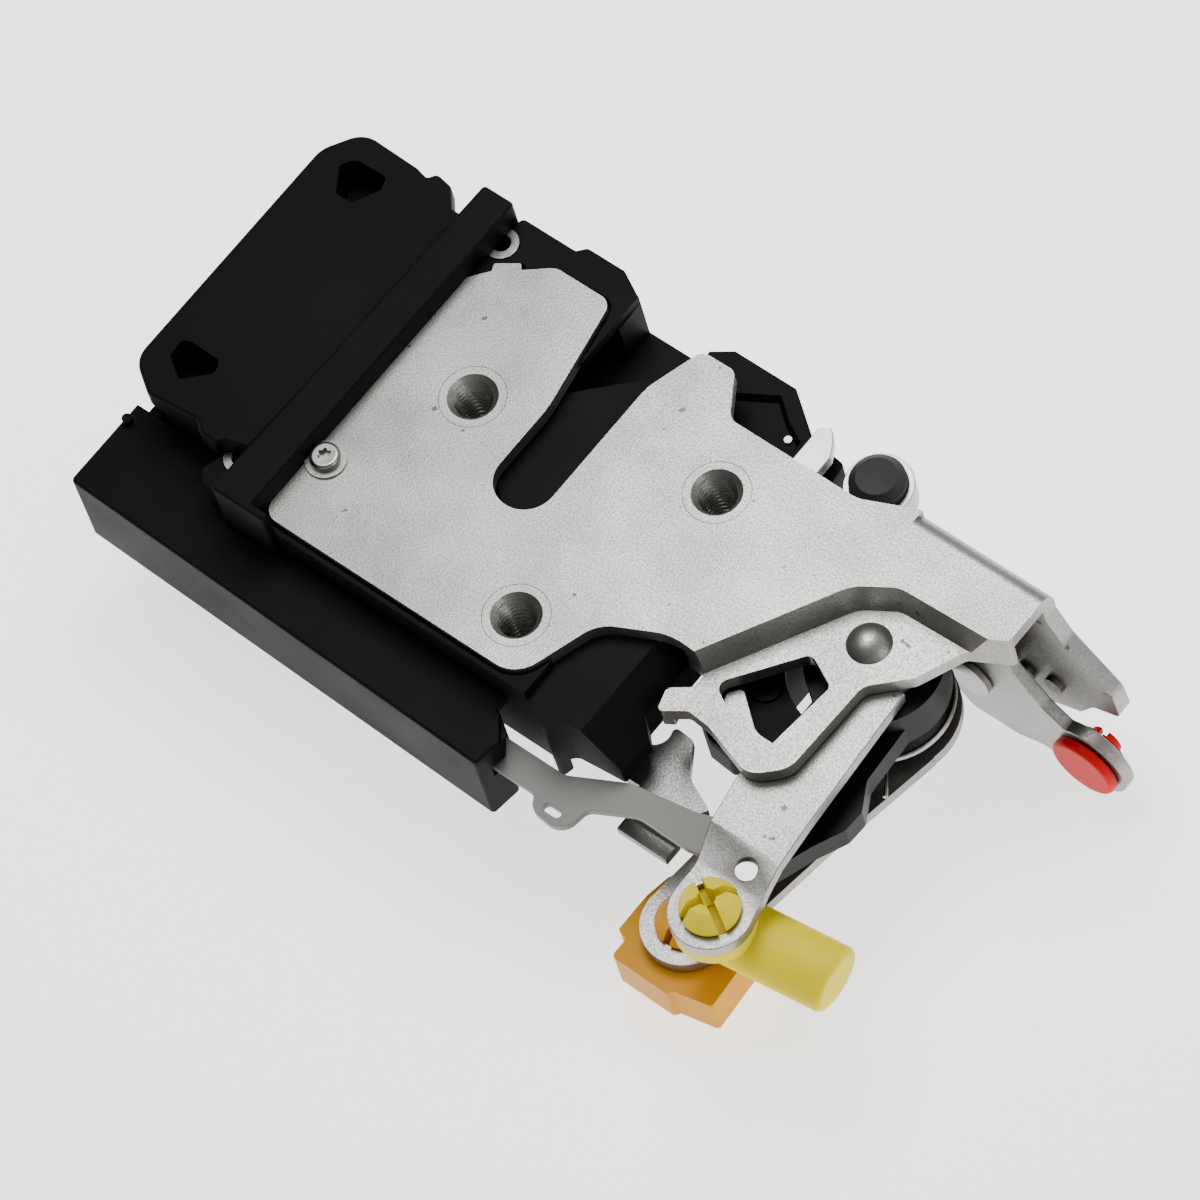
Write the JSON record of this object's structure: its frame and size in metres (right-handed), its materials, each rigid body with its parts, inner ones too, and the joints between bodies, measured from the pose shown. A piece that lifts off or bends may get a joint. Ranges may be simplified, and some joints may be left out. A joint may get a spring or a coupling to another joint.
{
  "type": "door latch actuator",
  "caption": "Side-door latch with power-lock actuator: slotted steel face plate, fork bolt, pawl, lever stack, rod clips, lock motor and slide.",
  "frame": {"origin": "centre of the lower tapped bush where it meets the outer face of the face plate", "axes": "+Z out of the face plate towards the door edge; +X along the plate's long lower edge, from the actuator to the levers; +Y towards the mouth of the striker slot"},
  "size_m": [0.1742, 0.0947, 0.0496],
  "materials": {
    "black_plastic": "moulded glass-filled nylon, fine grain",
    "brass": "drawn brass",
    "bright_steel": "bright plated steel, smooth",
    "dark_steel": "oiled spring steel",
    "grey_strip": "thin moulded strip, satin",
    "lock_plastic": "moulded acetal, smooth",
    "orange_plastic": "moulded acetal, slightly translucent",
    "red_plastic": "moulded acetal, satin gloss",
    "rubber": "moulded rubber",
    "steel_bush": "turned steel, plated",
    "white_plastic": "moulded acetal gear",
    "yellow_plastic": "moulded acetal, slightly translucent",
    "zinc_plate": "satin zinc-plated sheet steel, fine grain"
  },
  "bodies": {
    "frame": {"actuator_case": "black_plastic", "actuator_cover": "black_plastic", "back_plate": "zinc_plate", "bumper": "rubber", "bumper_bracket": "bright_steel", "claw_spring": "dark_steel", "eyelet_rivets": "bright_steel", "face_plate": "zinc_plate", "guide_pin": "bright_steel", "knob_rivet": "bright_steel", "latch_housing": "black_plastic", "lever_housing": "black_plastic", "lever_spring": "bright_steel", "motor_can": "bright_steel", "motor_end_cap": "black_plastic", "pawl_spring": "dark_steel", "pivot_rivet": "zinc_plate", "pivot_washer": "bright_steel", "screw_washer": "zinc_plate", "slide_box_lid": "black_plastic", "stop_tab": "bright_steel", "tapped_bushes": "steel_bush", "terminals": "brass", "torx_screw": "bright_steel", "wheel_axle": "bright_steel"},
    "claw": {"claw_core": "dark_steel", "claw_jacket": "black_plastic"},
    "pawl": {"pawl": "dark_steel", "detent_pin": "bright_steel", "detent_lever": "bright_steel"},
    "worm_wheel": {"worm_wheel": "white_plastic"},
    "motor_rotor": {"motor_rotor": "dark_steel", "worm": "brass"},
    "link": {"rack_slide": "white_plastic", "link_strip": "grey_strip"},
    "lock_lever": {"lock_lever": "lock_plastic"},
    "outside_lever": {"outside_lever": "zinc_plate", "lever_stud": "bright_steel"},
    "yellow_clip": {"yellow_clip": "yellow_plastic"},
    "inside_lever": {"inside_lever": "zinc_plate"},
    "orange_clip": {"orange_clip": "orange_plastic"},
    "knob_lever": {"knob_lever": "zinc_plate"},
    "red_clip": {"red_clip": "red_plastic"}
  },
  "joints": [
    {"name": "claw_turn", "type": "hinge", "parent": "frame", "child": "claw", "pos_m": [-0.0331, 0.0285, -0.007], "axis": [0, 0, 1], "range_deg": [-67, 0]},
    {"name": "pawl_turn", "type": "hinge", "parent": "frame", "child": "pawl", "pos_m": [0, 0, -0.0075], "axis": [0, 0, 1], "range_deg": [-7, 0]},
    {"name": "wheel_turn", "type": "hinge", "parent": "frame", "child": "worm_wheel", "pos_m": [-0.0593, -0.0095, -0.0132], "axis": [0, 0, 1], "range_deg": [0, 92.5]},
    {"name": "rotor_turn", "type": "hinge", "parent": "frame", "child": "motor_rotor", "pos_m": [-0.071, 0.011, -0.0132], "axis": [0, 1, 0], "range_deg": [0, 2222.8]},
    {"name": "link_slide", "type": "slide", "parent": "frame", "child": "link", "axis": [1, 0, 0], "range_m": [0, 0.007]},
    {"name": "lock_turn", "type": "hinge", "parent": "frame", "child": "lock_lever", "pos_m": [0.0503, 0.031, -0.02], "axis": [0, 0, 1], "range_deg": [0, 10.3]},
    {"name": "outside_lever_turn", "type": "hinge", "parent": "frame", "child": "outside_lever", "pos_m": [0.0503, 0.031, -0.01], "axis": [0, 0, 1], "range_deg": [-11, 0]},
    {"name": "yellow_clip_swivel", "type": "hinge", "parent": "outside_lever", "child": "yellow_clip", "pos_m": [0.0568, -0.021, -0.012], "axis": [0, 0, 1], "range_deg": [-15, 15]},
    {"name": "inside_lever_turn", "type": "hinge", "parent": "frame", "child": "inside_lever", "pos_m": [0.0503, 0.031, -0.03], "axis": [0, 0, 1], "range_deg": [-12, 0]},
    {"name": "orange_clip_swivel", "type": "hinge", "parent": "inside_lever", "child": "orange_clip", "pos_m": [0.0471, -0.0199, -0.03], "axis": [0, 0, 1], "range_deg": [-15, 15]},
    {"name": "knob_lever_turn", "type": "hinge", "parent": "frame", "child": "knob_lever", "pos_m": [0.057, 0.04625, -0.03], "axis": [0, 1, 0], "range_deg": [-10, 10]},
    {"name": "red_clip_swivel", "type": "hinge", "parent": "knob_lever", "child": "red_clip", "pos_m": [0.081, 0.04625, -0.0368], "axis": [0, 1, 0], "range_deg": [-30, 30]}
  ],
  "couplings": [
    {"joint": "wheel_turn", "follows": "link_slide", "rad_per_m": 229.89},
    {"joint": "rotor_turn", "follows": "link_slide", "rad_per_m": 5517.2},
    {"joint": "lock_turn", "follows": "link_slide", "rad_per_m": 25.311}
  ]
}
